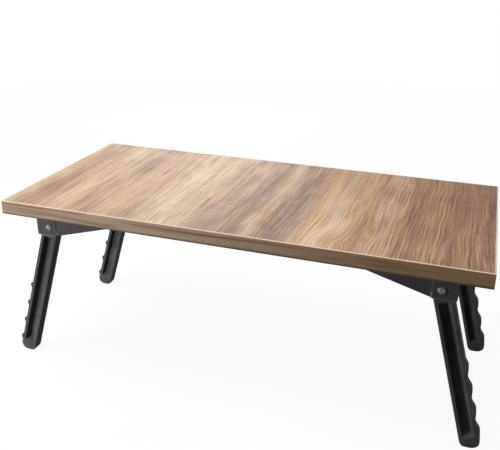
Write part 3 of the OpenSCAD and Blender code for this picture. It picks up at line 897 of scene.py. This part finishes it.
def ease(value, low, high, start=0.0, end=1.0):
    """Smooth step of a value from start to end as it goes from low to high."""
    inputs = {"Value": value, "From Min": low, "From Max": high, "To Min": start, "To Max": end}
    return Value(node(value.tree, "ShaderNodeMapRange", inputs, interpolation_type="SMOOTHSTEP"), "Result")


def blend(share, under, over):
    """One colour laid over another by a share."""
    return Value(node(share.tree, "ShaderNodeMix", {0: share, 6: under, 7: over}, data_type="RGBA"), 2)


def ramp(value, stops):
    """Colour ramp with stops of (place, colour)."""
    made = node(value.tree, "ShaderNodeValToRGB", {"Fac": value})
    elements = made.color_ramp.elements
    while len(elements) < len(stops):
        elements.new(1.0)
    for element, (place, tone) in zip(elements, stops):
        element.position = place
        element.color = (*tone[:3], 1.0)
    return Value(made, "Color")


def around(x, y, place, half_size):
    """One at a place, falling off as exp(-(dx / a)^2 - (dy / b)^2)."""
    across, along = (x - place[0]) / half_size[0], (y - place[1]) / half_size[1]
    return ((across * across + along * along) * -1.0).calc("EXPONENT")


def new_material(name):
    """A material that holds only its surface shader, with its object coordinates, whole and as X, Y, Z."""
    material = bpy.data.materials.new(name)
    material.use_nodes = True
    place = Value(node(material.node_tree, "ShaderNodeTexCoord", {}), "Object")
    split = node(material.node_tree, "ShaderNodeSeparateXYZ", {0: place})
    return material, place, [Value(split, axis) for axis in range(3)]


def finished(material, tone, roughness, relief, strength, depth, **constants):
    """Gives a material its colour and roughness, a bump of a strength and a depth in metres, and what
    is the same all over. A constant is named as its socket is, with _ for a space."""
    tree = material.node_tree
    bump = node(tree, "ShaderNodeBump", {"Height": relief, "Strength": strength, "Distance": depth})
    inputs = {"Base Color": tone, "Roughness": roughness, "Normal": Value(bump)}
    inputs.update({name.replace("_", " "): value for name, value in constants.items()})
    connect(tree.nodes["Principled BSDF"], inputs)
    return material


# ---- Wood print ----


# Half the length of the print, and its zones from the left end to the right, in metres from the middle.
PRINT_END = 0.300
PRINT_ZONES = (
    (-0.300, "straw"), (-0.286, "tan"), (-0.270, "mauve"), (-0.252, "tan"), (-0.230, "straw"),
    (-0.208, "tan"), (-0.185, "mauve"), (-0.168, "tan"), (-0.130, "tan"), (-0.108, "straw"),
    (-0.070, "straw"), (-0.050, "tan"), (-0.030, "mauve"), (-0.008, "mauve"), (0.010, "plum"),
    (0.030, "tan"), (0.042, "plum"), (0.060, "plum"), (0.074, "mauve"), (0.088, "honey"),
    (0.112, "straw"), (0.134, "honey"), (0.152, "brown"), (0.170, "tan"), (0.190, "brown"),
    (0.212, "umber"), (0.230, "brown"), (0.250, "umber"), (0.278, "umber"), (0.300, "plum"),
)
# Layers of streaks: fineness across and along the grain, detail, the noise at which a streak starts
# and is full, its share at the left end and at the right end, and its colour.
PRINT_LAYERS = (
    (42, 9.0, 2.0, 0.48, 0.68, 0.34, 0.46, "plum"),
    (55, 7.0, 2.0, 0.50, 0.30, 0.42, 0.26, "straw"),
    (130, 5.0, 3.0, 0.50, 0.70, 0.40, 0.60, "vein"),
    (160, 5.0, 2.0, 0.50, 0.30, 0.42, 0.36, "honey"),
    (330, 8.0, 4.0, 0.50, 0.68, 0.42, 0.70, "vein"),
    (420, 10.0, 3.0, 0.50, 0.32, 0.42, 0.24, "honey"),
    (700, 12.0, 4.0, 0.50, 0.66, 0.40, 0.62, "vein"),
    (800, 14.0, 4.0, 0.50, 0.34, 0.38, 0.32, "straw"),
)
# Middle, half size, share and colour of the broad clouds, and of the ragged spots over them.
PRINT_CLOUDS = (
    # A painted shadow at the rear right of the top.
    ((0.280, 0.090), (0.080, 0.120), 0.55, "painted_shadow"),
    # Darker towards the rear, right of the middle.
    ((0.110, 0.130), (0.050, 0.100), 0.55, "amber"),
    ((0.118, 0.000), (0.030, 0.070), 0.22, "amber"),
)
KNOT = (0.158, -0.090)
SMALL_KNOT = (0.247, -0.136)
PRINT_SPOTS = (
    (KNOT, (0.0045, 0.012), 0.75, "knot"),
    ((0.162, -0.086), (0.013, 0.024), 0.34, "knot"),
    ((0.1625, -0.078), (0.0022, 0.010), 0.60, "vein"),
    ((0.1575, -0.107), (0.0016, 0.006), 0.45, "vein"),
    (SMALL_KNOT, (0.0035, 0.006), 0.60, "vein"),
    ((-0.125, -0.140), (0.016, 0.030), 0.35, "plum"),
    ((-0.020, -0.140), (0.018, 0.045), 0.40, "plum"),
    ((0.010, -0.132), (0.009, 0.030), 0.65, "plum"),
    ((0.052, -0.128), (0.010, 0.026), 0.80, "plum"),
    ((0.211, -0.090), (0.009, 0.060), 0.50, "plum"),
)
# Middle and half size of the strip where the streaks are fainter, and how much of them is lost.
QUIET_PLACE, QUIET_SIZE, QUIET_LOSS = (0.113, 0.0), (0.026, 1.0), 0.42
# Wavy lines: radians a metre across the grain, radians that they wander, and how thin they are.
LINE_PITCH, LINE_WANDER, LINE_POWER = 1350.0, 18.0, 2.5
# Middle and half size of the bends of the grain: how far each knot draws it in, and how far it is
# swept over beside the larger one, from a place along Y.
KNOT_BENDS = ((KNOT, (0.016, 0.034), 0.5), (SMALL_KNOT, (0.012, 0.022), 0.4))
SWEEP, SWEEP_SIZE, SWEEP_SHARE, SWEEP_START = (0.122, -0.112), (0.024, 0.050), 0.36, -0.09
# Fineness of a band's streaks along it and up it, from its slow drift to its finest lines.
BAND_DRIFT, BAND_BROAD, BAND_PATCH, BAND_FINE = (3.4, 1, 16), (2.2, 1, 105), (8, 1, 240), (9, 1, 640)
# Place along the front and the rear band and below its top, and half size, of their dark streaks.
BAND_STREAKS = (((-0.01, 0.0050), (0.11, 0.0014)), ((0.185, 0.0062), (0.028, 0.0020)))
# Levels between which a band is scraped paler, partly as a painted highlight, and its foot is
# darkened as painted shade, in roundings from its top and bottom.
SCRAPE_START, SCRAPE_END, FOOT_SHADE_START, FOOT_SHADE_END = 1.05, 0.5, 4.5, 0.3


def across_grain(x, y, z):
    """Distance across the grain: X pushed sideways by a slow drift and a quicker wander, drawn in at
    the knots as dx times the nearness, and swept over beside the larger one."""
    drift = streaks((x, y, z), (6, 2.5, 0), 1.0)
    wave = streaks((x, y, z), (45, 24, 0))
    across = x + (drift - 0.5) * 0.016 + (wave - 0.5) * ease(x, 0.10, 0.19, 0.0018, 0.0060)
    for middle, half, squeeze in KNOT_BENDS:
        across = across - (x - middle[0]) * around(x, y, middle, half) * squeeze
    return across - (y - SWEEP_START) * around(x, y, SWEEP, SWEEP_SIZE) * SWEEP_SHARE


def wood_sheet(board):
    """Wood print of the two sheets, its grain running front to rear: zones of colour, layers of
    streaks, clouds, the first of them a painted shadow at the rear right, wavy lines as the sine of the
    distance across the grain, spots and pores."""
    material, place, (x, y, z) = new_material("wood_print_sheet")
    across = across_grain(x, y, z)
    ends = {"Value": across, "From Min": -PRINT_END, "From Max": PRINT_END}
    where = Value(node(x.tree, "ShaderNodeMapRange", ends))
    zones = [((at + PRINT_END) / (2 * PRINT_END), getattr(board, name)) for at, name in PRINT_ZONES]
    tone = ramp(where, zones)

    quiet = around(x, y, QUIET_PLACE, QUIET_SIZE) * -QUIET_LOSS + 1.0
    for layer, (fine, along, detail, start, full, left, right, name) in enumerate(PRINT_LAYERS):
        streak = streaks((across, y, layer * 3.7), (fine, along, 1), detail, 0.55)
        share = ease(streak, start, full) * ease(x, 0.05, 0.13, left, right) * quiet
        tone = blend(share, tone, getattr(board, name))
    # Clouds: the first is a painted shadow, the second darkens the rear and the third tints the middle.
    for middle, half, share, name in PRINT_CLOUDS:
        tone = blend(around(x, y, middle, half) * share, tone, getattr(board, name))

    phase = streaks((across, y, z), (60, 3, 0), 1.0) * LINE_WANDER + across * LINE_PITCH
    line = (phase.calc("SINE") * 0.5 + 0.5).calc("POWER", LINE_POWER)
    patch = streaks((across, y, z), (28, 11, 0))
    line_share = ease(patch, 0.42, 0.62) * ease(x, 0.06, 0.2, 0.12, 0.80)
    tone = blend(line * line_share, tone, board.vein)

    for middle, half, share, name in PRINT_SPOTS:
        ragged = around(x, y, middle, half) * ease(streak, 0.3, 0.6, share * 0.6, share)
        tone = blend(ragged, tone, getattr(board, name))
    pore = ease(streaks((across, y, z), (1500, 70, 0)), 0.66, 0.74)
    tone = blend(pore * 0.45, tone, board.vein)

    dull = ease(noise(place, 38.0, 4.0, 0.6), 0.3, 0.7, board.print_gloss - 0.05, board.print_gloss + 0.07)
    relief = pore * -1.0 + streak * -0.5
    return finished(material, tone, pore * 0.12 + dull, relief, 0.25, 0.00012, Specular_IOR_Level=0.12)


def wood_band(board, name, lengthwise, top, bottom, rounding):
    """Print of an edge band. The grain runs along the band, X or Y, and the streaks lie above each
    other. The rounded arrises are drawn paler, partly as bare scraped plastic and partly as a painted
    highlight, and the lower edge is darkened as painted shade."""
    material, place, (x, y, z) = new_material(name)
    long_band = lengthwise == "X"
    along = x if long_band else y
    across = z + (streaks((along, 0.0, z), BAND_DRIFT) - 0.5) * 0.010
    broad = streaks((along, 1.3, across), BAND_BROAD, 3.0, 0.6)
    tone = ramp(broad, [(0.34, board.band_dark), (0.47, board.band), (0.68, board.band_pale)])
    if long_band:
        tone = blend(ease(x, -0.10, 0.26, 0.0, 0.85), tone, board.band_olive)
        low_left = ease(x, 0.1, -0.2) * ease(z, top - 0.008, bottom + 0.004)
        tone = blend(low_left * 0.6, tone, board.band_pale)
    fine = streaks((along, 2.9, across), BAND_FINE, 4.0, 0.65)
    tone = blend(ease(fine, 0.48, 0.72, 0.0, 0.62), tone, board.band_dark)
    patch = streaks((along, 5.1, across), BAND_PATCH)
    tone = blend(ease(patch, 0.56, 0.70, 0.0, 0.6), tone, board.vein)
    if long_band:
        for (at, below), half in BAND_STREAKS:
            ragged = around(x, across, (at, top - below), half) * ease(fine, 0.3, 0.6, 0.35, 0.85)
            tone = blend(ragged, tone, board.vein)

    nick = ease(noise(place, 240.0, 3.0), 0.3, 0.5, 0.75, 1.0)
    # Upper: the arris drawn paler, partly a painted highlight. Lower: the foot darkened as painted shade.
    upper = ease(z, top - rounding * SCRAPE_START, top - rounding * SCRAPE_END)
    lower = ease(z, bottom + rounding * FOOT_SHADE_START, bottom + rounding * FOOT_SHADE_END, 0.0, 0.95)
    tone = blend(lower, blend(upper * nick, tone, board.arris_and_highlight), board.band_foot_shade)
    rough = ease(noise(place, 60.0, 3.0), 0.3, 0.7, 0.46, 0.58)
    return finished(material, tone, rough, fine, 0.22, 0.0001, Specular_IOR_Level=0.1)


# ---- Other materials ----


# Scale of the clouds in plastic and in plating, and of the grain of a spark-eroded mould or the pits.
PLASTIC_CLOUD, PLATING_CLOUD, FINE_GRAIN = 26.0, 420.0, 2600.0
# Fineness along X, Y and Z of the chips, of the flow marks and of the scuffs.
CHIPS, FLOW, SCUFFS = (330, 300, 900), (260, 260, 9), (900, 900, 60)
# Distances from the middle between which the share of white in the floor grows, in metres.
WHITE_START, WHITE_END = 0.6, 2.5


def pressed_chips(board):
    """Particle board: flat cells of light and dark chips, drawn out in the plane of the board."""
    material, place, (x, y, z) = new_material("pressed_wood_chips")
    vector = stretched((x + noise(place, 60.0) * 0.01, y, z), CHIPS)
    cells = node(x.tree, "ShaderNodeTexVoronoi", {"Vector": vector, "Scale": 1.0})
    tint = Value(node(x.tree, "ShaderNodeSeparateColor", {0: Value(cells, "Color")}))
    tone = ramp(tint, [(0.0, board.chip_dark), (0.45, board.chip), (1.0, board.chip_pale)])
    dust = noise(place, 1600.0, 3.0)
    tone = blend(ease(dust, 0.5, 0.7, 0.0, 0.4), tone, board.chip_dust)
    return finished(material, tone, 0.85, Value(cells, "Distance") + dust, 0.5, 0.0004)


def painted_light_faces(leg, place, axes):
    """How far a leg takes the pale, painted-lit colour over its painted shade: its mesh holds the share as
    an attribute.
    """
    return Value(node(place.tree, "ShaderNodeAttribute", {}, attribute_name="rubbed"), "Fac")


def painted_highlight_edges(b, place, axes):
    """How far a bracket takes its paler colour as a painted highlight: along the lip at its lower edge,
    and most of all on the lower half of the slope at the inner end of the pad, where it also paints over
    the slope's shade."""
    x, _, z = axes
    outwards = x.calc("ABSOLUTE") - PIVOT["front_right"][0] * MM
    low = PIVOT_HEIGHT - b.belly_drop
    lip = ease(z, (low + b.lip_height + 0.2) * MM, (low + b.lip_height - 0.1) * MM, 0.0, 0.5)
    slope_middle = (-(b.belly_reach + b.pad_ramp / 2) * MM, (low + 2.5) * MM)
    return lip.calc("MAXIMUM", around(outwards, z, slope_middle, (b.pad_ramp * 0.6 * MM, 0.0045)))


def moulded_plastic(name, settings, rubbed):
    """Black plastic from a spark-eroded mould: clouds, an even fine grain, faint flow marks along Z and
    pale scuffs in the colour; the clouds and the grain are also in the bump, and the clouds and the scuffs
    in the roughness. A second, paler colour, which is painted light, shows as far as the given function
    says: the lit faces of a leg, whose darker sides and trough floors are painted shade, and a painted
    highlight on a bracket."""
    material, place, axes = new_material(name)
    cloud = noise(place, PLASTIC_CLOUD, 4.0, 0.6)
    grain = noise(place, FINE_GRAIN, 2.0, 0.6)
    flow = streaks(axes, FLOW, 3.0, 0.6)
    scuff = streaks(axes, SCUFFS, 3.0, 0.7)
    mark = ease(scuff, 0.66, 0.74) * ease(noise(place, 45.0), 0.55, 0.7)
    # The paler colour is painted light: the lit faces of a leg, whose darker sides and trough floors are
    # painted shade, and a painted highlight on a bracket.
    tone = blend(rubbed(settings, place, axes), settings.plastic, settings.rubbed)
    for texture, low, high, most, over in (
        (cloud, 0.5, 0.75, 0.035, WHITE),
        (cloud, 0.5, 0.28, 0.17, BLACK),
        (grain, 0.5, 0.8, 0.03, WHITE),
        (flow, 0.5, 0.72, 0.09, BLACK),
    ):
        tone = blend(ease(texture, low, high, 0.0, most), tone, over)
    tone = blend(mark * 0.3, tone, settings.scuff)
    rough = ease(cloud, 0.3, 0.7, settings.roughness - 0.06, settings.roughness + 0.08)
    relief = cloud * 0.6 + grain
    gloss = {"Specular_IOR_Level": settings.gloss}
    return finished(material, tone, mark * 0.2 + rough, relief, 0.35, 0.00008, **gloss)


def plated_steel(name, f):
    """Zinc-plated steel: clouded plating with fine pits, and dark grime in the pits."""
    material, place, _ = new_material(name)
    cloud = noise(place, PLATING_CLOUD, 4.0, 0.6)
    pits = noise(place, FINE_GRAIN, 3.0, 0.6)
    grime = ease(pits, 0.62, 0.75, 0.0, 0.6)
    tone = blend(ease(cloud, 0.3, 0.7, 0.0, 0.6), f.steel, tuple(v * 0.7 for v in f.steel))
    tone = blend(grime, tone, f.grime)
    rough = ease(cloud, 0.3, 0.7, f.roughness - 0.06, f.roughness + 0.1)
    return finished(material, tone, grime * 0.2 + rough, pits, 0.2, 0.00005, Metallic=1.0)


def seen_rays(tree):
    """One for the rays from the camera, in gloss and through glass, and none for the rest."""
    path = node(tree, "ShaderNodeLightPath", {})
    camera, gloss, glass = (Value(path, f"Is {kind} Ray") for kind in ("Camera", "Glossy", "Transmission"))
    return camera.calc("MAXIMUM", gloss).calc("MAXIMUM", glass)


def white_floor(studio):
    """Pale floor. Where it is seen, an even white is mixed in, so it comes out white and keeps the
    shadow of the table. Its share grows to one far from the middle. The light that the floor throws
    back is that of a greyer floor."""
    material, place, _ = new_material("studio_floor")
    tree = material.node_tree
    surface = tree.nodes["Principled BSDF"]
    seen = seen_rays(tree)
    tone = blend(seen, studio.bounce, studio.floor)
    connect(surface, {"Base Color": tone, "Roughness": 0.9, "Specular IOR Level": 0.0})
    away = Value(node(tree, "ShaderNodeVectorMath", {0: place}, operation="LENGTH"), "Value")
    share = seen * ease(away, WHITE_START, WHITE_END, studio.white, 1.0)
    white = node(tree, "ShaderNodeEmission", {"Color": WHITE, "Strength": 1.0})
    mixed = node(tree, "ShaderNodeMixShader", {0: share, 1: Value(surface), 2: Value(white)})
    connect(tree.nodes["Material Output"], {"Surface": Value(mixed)})
    return material


# ---- Operators ----


def settings_of(context):
    """The groups of settings of the scene, with their lengths in millimetres."""
    groups = {name: in_millimetres(getattr(context.scene, name)) for name in SETTINGS}
    return SimpleNamespace(**{name.removeprefix("lap_"): group for name, group in groups.items()})


def repaint(name, material):
    """Gives a node of the frame a material of this file."""
    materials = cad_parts[name].data.materials
    materials.clear()
    materials.append(material)


def at_corners(left, right, part, finish, material):
    """Puts a copy of the left or the right mesh at each corner of the board. A leg rides on its own
    body, and every other part on the board."""
    for corner, (end, _) in CORNERS.items():
        body = f"{corner}_leg_body" if part == "leg" else BOARD_BODY
        mesh = placed(corner, left if end == LEFT else right, corner)
        piece(f"{corner}_{part}_{finish}", mesh, material, body, [f"{corner}_{part}"])


class LAPTABLE_OT_core(Operator):
    """Gives the particle board core its material"""

    bl_idname = "laptable.core"
    bl_label = "Board Core"

    def execute(self, context):
        repaint("board_core", pressed_chips(settings_of(context).board))
        return {"FINISHED"}


class LAPTABLE_OT_sheets(Operator):
    """Adds the printed top sheet and finishes the underside sheet"""

    bl_idname = "laptable.sheets"
    bl_label = "Laminate Sheets"

    def execute(self, context):
        board = settings_of(context).board
        wood = wood_sheet(board)
        outline = rectangle(SHEET_LOW, SHEET_HIGH)
        top = prism("sheet", TOP_VIEW, outline, SHEET_LOW[2], SHEET_HIGH[2], board.sheet_arris, 2)
        piece("top_laminate_sheet", top, wood, BOARD_BODY, ["top_laminate"])
        repaint("underside_laminate", wood)
        return {"FINISHED"}


class LAPTABLE_OT_bands(Operator):
    """Adds the four edge bands"""

    bl_idname = "laptable.bands"
    bl_label = "Edge Bands"

    def execute(self, context):
        board = settings_of(context).board
        (bottom, top), thickness = FRONT_BAND[:, 2], np.ptp(FRONT_BAND[:, 1])
        limits = (top * MM, bottom * MM, board.band_rounding * MM)
        long_print = wood_band(board, "wood_print_long_band", "X", *limits)
        short_print = wood_band(board, "wood_print_short_band", "Y", *limits)
        long_band = (np.ptp(FRONT_BAND[:, 0]), -FRONT_BAND[1, 1], END_VIEW, long_print)
        short_band = (np.ptp(LEFT_BAND[:, 1]), -LEFT_BAND[1, 0], SIDE_VIEW, short_print)
        for name, side, (run, inner_face, view, material) in (
            ("front", FRONT, long_band), ("rear", REAR, long_band),
            ("left", LEFT, short_band), ("right", RIGHT, short_band),
        ):
            rings = band_rings(board, run, thickness, top - bottom)
            rings[..., 0] = side * (rings[..., 0] + inner_face)
            rings[..., 1] += bottom
            mesh = closed_mesh(name, rings, view)
            piece(f"{name}_band_strip", mesh, material, BOARD_BODY, [f"{name}_edge_band"])
        return {"FINISHED"}


class LAPTABLE_OT_brackets(Operator):
    """Adds the four moulded brackets"""

    bl_idname = "laptable.brackets"
    bl_label = "Leg Brackets"

    def execute(self, context):
        now = settings_of(context)
        material = moulded_plastic("black_plastic_bracket", now.bracket, painted_highlight_edges)
        base = bracket_mesh(now.bracket, now.leg, now.fastener)
        at_corners(base, base, "bracket", "moulding", material)
        return {"FINISHED"}


class LAPTABLE_OT_legs(Operator):
    """Adds the four moulded legs"""

    bl_idname = "laptable.legs"
    bl_label = "Folding Legs"

    def execute(self, context):
        now = settings_of(context)
        material = moulded_plastic("black_plastic_leg", now.leg, painted_light_faces)
        left = leg_mesh("left_leg", now.leg, now.fastener, nub_rise)
        right = leg_mesh("right_leg", now.leg, now.fastener, wave_rise)
        at_corners(left, right, "leg", "moulding", material)
        return {"FINISHED"}


class LAPTABLE_OT_rivets(Operator):
    """Adds the rivets that the legs turn on"""

    bl_idname = "laptable.rivets"
    bl_label = "Pivot Rivets"

    def execute(self, context):
        now = settings_of(context)
        material = plated_steel("plated_steel_rivet", now.fastener)
        base = rivet_mesh(now.fastener, half_widths(now.bracket, now.leg)[2])
        at_corners(base, base, "rivet", "steel", material)
        return {"FINISHED"}


class LAPTABLE_OT_screws(Operator):
    """Adds the screws that hold the brackets to the board"""

    bl_idname = "laptable.screws"
    bl_label = "Bracket Screws"

    def execute(self, context):
        now = settings_of(context)
        material = plated_steel("plated_steel_screw", now.fastener)
        base = four_screws(now.bracket, now.leg, now.fastener)
        at_corners(base, base, "screws", "steel", material)
        return {"FINISHED"}


# Place and aim of each lamp, and the side of its square.
LAMPS = {
    "top": ((-0.80, -0.35, 2.0), (-0.05, -0.05, 0.24), 1.2),
    "key": ((-0.88, -0.60, 0.12), (-0.15, -0.13, 0.12), 0.2),
    "back": ((-0.60, 1.50, 0.75), (0.0, 0.1, 0.15), 0.8),
    "side": ((1.90, 0.55, 1.30), (0.3, 0.0, 0.15), 0.6),
}
# Half the side of the floor, in metres, and the camera fitted to the table's corners, rivets and feet.
FLOOR_REACH = 14.0
CAMERA_PLACE = (0.262547, -0.880559, 0.557061)
CAMERA_SHIFT = (0.0748, -0.0400)


def camera_turned(turn, drop, roll):
    """Rolls a camera about its own line of sight, tips it up from looking straight down to looking
    below the horizon by the drop, and turns it from the Y axis towards X."""
    tip = math.pi / 2 - drop
    turned = Matrix.Rotation(-turn, 4, "Z")
    return turned @ Matrix.Rotation(tip, 4, "X") @ Matrix.Rotation(roll, 4, "Z")


class LAPTABLE_OT_studio(Operator):
    """Adds the floor, the light and the camera"""

    bl_idname = "laptable.studio"
    bl_label = "Studio"

    def execute(self, context):
        scene = context.scene
        studio = scene.lap_studio
        corners = rectangle([-FLOOR_REACH] * 2, [FLOOR_REACH] * 2)
        floor_mesh = bpy.data.meshes.new("studio_floor")
        floor_mesh.from_pydata(np.insert(corners, 2, 0, axis=1).tolist(), [], [(0, 1, 2, 3)])
        floor_mesh.materials.append(white_floor(studio))
        new_object("studio_floor", floor_mesh)

        world = bpy.data.worlds.new("studio_daylight")
        world.use_nodes = True
        scene.world = world
        sky = ease(seen_rays(world.node_tree), 0.0, 1.0, studio.daylight, 1.0)
        connect(world.node_tree.nodes["Background"], {"Color": WHITE, "Strength": sky})

        for name, (place, aim, side) in LAMPS.items():
            lamp = bpy.data.lights.new(f"{name}_lamp", "AREA")
            lamp.energy = getattr(studio, name)
            lamp.size = side
            made = new_object(f"{name}_lamp", lamp)
            made.location = place
            made.rotation_euler = (Vector(aim) - Vector(place)).to_track_quat("-Z", "Y").to_euler()

        lens = bpy.data.cameras.new("camera")
        lens.lens = studio.lens
        lens.sensor_width = 36.0
        lens.shift_x, lens.shift_y = CAMERA_SHIFT
        lens.clip_start, lens.clip_end = 0.01, 60.0
        camera = new_object("camera", lens)
        turned = camera_turned(studio.camera_turn, studio.camera_drop, studio.camera_roll)
        camera.matrix_world = Matrix.Translation(CAMERA_PLACE) @ turned
        scene.camera = camera
        scene.view_settings.view_transform = "Standard"
        return {"FINISHED"}


PIECE_OPERATORS = (
    LAPTABLE_OT_core,
    LAPTABLE_OT_sheets,
    LAPTABLE_OT_bands,
    LAPTABLE_OT_brackets,
    LAPTABLE_OT_legs,
    LAPTABLE_OT_rivets,
    LAPTABLE_OT_screws,
    LAPTABLE_OT_studio,
)


class LAPTABLE_PT_sidebar(Panel):
    """Lists the operators and the settings"""

    bl_idname = "LAPTABLE_PT_sidebar"
    bl_label = "Lap Table"
    bl_space_type = "VIEW_3D"
    bl_region_type = "UI"
    bl_category = "Lap Table"

    def draw(self, context):
        for operator in PIECE_OPERATORS:
            self.layout.operator(operator.bl_idname)
        for name, group in SETTINGS.items():
            box = self.layout.box()
            box.label(text=group.__doc__)
            for field in group.__annotations__:
                box.prop(getattr(context.scene, name), field)


CLASSES = (*SETTINGS.values(), *PIECE_OPERATORS, LAPTABLE_PT_sidebar)


def register():
    for made in CLASSES:
        bpy.utils.register_class(made)
    for name, group in SETTINGS.items():
        setattr(bpy.types.Scene, name, PointerProperty(type=group))


def unregister():
    for name in SETTINGS:
        delattr(bpy.types.Scene, name)
    for made in reversed(CLASSES):
        bpy.utils.unregister_class(made)


def main():
    register()
    bpy.ops.laptable.core()
    bpy.ops.laptable.sheets()
    bpy.ops.laptable.bands()
    bpy.ops.laptable.brackets()
    bpy.ops.laptable.legs()
    bpy.ops.laptable.rivets()
    bpy.ops.laptable.screws()
    bpy.ops.laptable.studio()
    bpy.context.view_layer.update()


if __name__ == "__main__":
    main()
